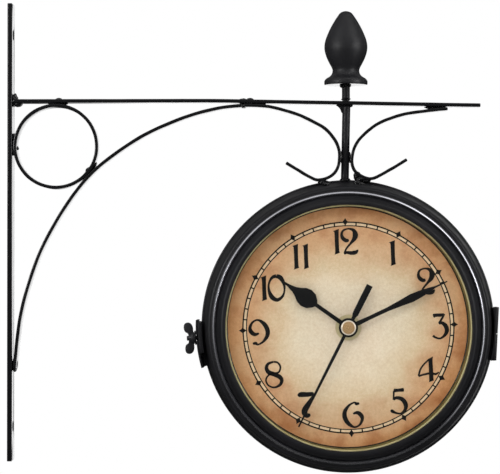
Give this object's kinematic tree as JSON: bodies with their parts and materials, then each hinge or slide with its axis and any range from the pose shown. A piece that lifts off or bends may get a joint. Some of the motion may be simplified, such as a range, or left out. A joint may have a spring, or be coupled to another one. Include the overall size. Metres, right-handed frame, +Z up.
{
  "type": "double sided wall bracket clock",
  "caption": "Round station clock with a dial on each side, hung under a scrolled flat-bar wall bracket; the rear half opens as a door for the battery.",
  "frame": {"origin": "on the back face of the wall bar, midway between its two screw holes", "axes": "+X away from the wall, +Z up, the front dial faces -Y"},
  "size_m": [0.314, 0.0824, 0.3002],
  "materials": {
    "black_enamel": "semi-gloss black enamel, lightly uneven",
    "satin_black": "satin black paint",
    "glass": "clear flat glass",
    "olive_gold": "dull olive gold lacquer",
    "dial_paper": "printed sepia paper, mottled",
    "brass": "spun, lightly brushed",
    "plated_steel": "bright zinc plate",
    "black_plastic": "moulded, fine texture",
    "white_plastic": "moulded",
    "rubber": "matt",
    "battery_sleeve": "plain printed sleeve",
    "board_green": "solder mask",
    "copper": "enamelled wire"
  },
  "bodies": {
    "bracket": {"wall_bar": "black_enamel", "arm_bar": "black_enamel", "scroll_ring": "black_enamel", "brace_arc": "black_enamel", "left_scroll": "black_enamel", "right_scroll": "black_enamel", "hanger_post": "black_enamel", "finial_post": "black_enamel", "finial": "satin_black", "hinge_front_leaf": "black_enamel", "hinge_pin": "plated_steel", "latch_lug": "black_enamel", "latch_stud": "black_enamel", "front_shell": "black_enamel", "front_bezel": "black_enamel", "front_lens": "glass", "front_dial_ring": "olive_gold", "front_dial": "dial_paper", "front_movement_case": "black_plastic", "front_movement_cover": "black_plastic", "front_gasket": "rubber", "front_dial_nut": "brass", "front_battery": "battery_sleeve", "front_battery_contact": "plated_steel", "front_circuit_board": "board_green", "front_drive_coil": "copper"},
    "rear_door": {"hinge_rear_leaf": "black_enamel", "latch_strap": "black_enamel", "rear_shell": "black_enamel", "rear_bezel": "black_enamel", "rear_lens": "glass", "rear_dial_ring": "olive_gold", "rear_dial": "dial_paper", "rear_movement_case": "black_plastic", "rear_movement_cover": "black_plastic", "rear_gasket": "rubber", "rear_dial_nut": "brass", "rear_battery": "battery_sleeve", "rear_battery_contact": "plated_steel", "rear_circuit_board": "board_green", "rear_drive_coil": "copper"},
    "latch_washer": {"latch_washer": "black_enamel"},
    "wing_nut": {"wing_nut": "black_enamel"},
    "front_hour": {"front_hour_wheel": "white_plastic", "front_hour_hand": "satin_black"},
    "front_minute": {"front_minute_arbor": "white_plastic", "front_minute_hand": "satin_black"},
    "front_second": {"front_second_arbor": "plated_steel", "front_second_hand": "satin_black", "front_hand_cap": "brass"},
    "front_set_knob": {"front_set_knob": "white_plastic"},
    "rear_hour": {"rear_hour_wheel": "white_plastic", "rear_hour_hand": "satin_black"},
    "rear_minute": {"rear_minute_arbor": "white_plastic", "rear_minute_hand": "satin_black"},
    "rear_second": {"rear_second_arbor": "plated_steel", "rear_second_hand": "satin_black", "rear_hand_cap": "brass"},
    "rear_set_knob": {"rear_set_knob": "white_plastic"}
  },
  "joints": [
    {"name": "door_swing", "type": "hinge", "parent": "bracket", "child": "rear_door", "pos_m": [0.31128, 0, -0.06592], "axis": [-0.0497, 0, -0.9988], "range_deg": [0, 165]},
    {"name": "wing_nut_travel", "type": "slide", "parent": "bracket", "child": "latch_washer", "axis": [-0.9972, 0, -0.075], "range_m": [0, 0.0032]},
    {"name": "wing_nut_turn", "type": "hinge", "parent": "latch_washer", "child": "wing_nut", "pos_m": [0.11978, -0.004, -0.0686], "axis": [-0.9972, 0, -0.075], "range_deg": [0, 1440]},
    {"name": "front_minute_turn", "type": "hinge", "parent": "bracket", "child": "front_minute", "pos_m": [0.2175, 0, -0.06125], "axis": [0, 1, 0], "continuous": true},
    {"name": "front_hour_turn", "type": "hinge", "parent": "bracket", "child": "front_hour", "pos_m": [0.2175, 0, -0.06125], "axis": [0, 1, 0], "continuous": true},
    {"name": "front_knob_turn", "type": "hinge", "parent": "bracket", "child": "front_set_knob", "pos_m": [0.2175, 0, -0.04895], "axis": [0, 1, 0], "continuous": true},
    {"name": "front_second_turn", "type": "hinge", "parent": "bracket", "child": "front_second", "pos_m": [0.2175, 0, -0.06125], "axis": [0, 1, 0], "continuous": true},
    {"name": "rear_minute_turn", "type": "hinge", "parent": "rear_door", "child": "rear_minute", "pos_m": [0.2175, 0, -0.06125], "axis": [0, -1, 0], "continuous": true},
    {"name": "rear_hour_turn", "type": "hinge", "parent": "rear_door", "child": "rear_hour", "pos_m": [0.2175, 0, -0.06125], "axis": [0, -1, 0], "continuous": true},
    {"name": "rear_knob_turn", "type": "hinge", "parent": "rear_door", "child": "rear_set_knob", "pos_m": [0.2175, 0, -0.04895], "axis": [0, -1, 0], "continuous": true},
    {"name": "rear_second_turn", "type": "hinge", "parent": "rear_door", "child": "rear_second", "pos_m": [0.2175, 0, -0.06125], "axis": [0, -1, 0], "continuous": true}
  ],
  "couplings": [
    {"joint": "wing_nut_turn", "follows": "wing_nut_travel", "rad_per_m": 7853.9},
    {"joint": "front_hour_turn", "follows": "front_minute_turn", "ratio": 0.083333},
    {"joint": "front_knob_turn", "follows": "front_minute_turn", "ratio": -2},
    {"joint": "rear_hour_turn", "follows": "rear_minute_turn", "ratio": 0.083333},
    {"joint": "rear_knob_turn", "follows": "rear_minute_turn", "ratio": -2}
  ]
}
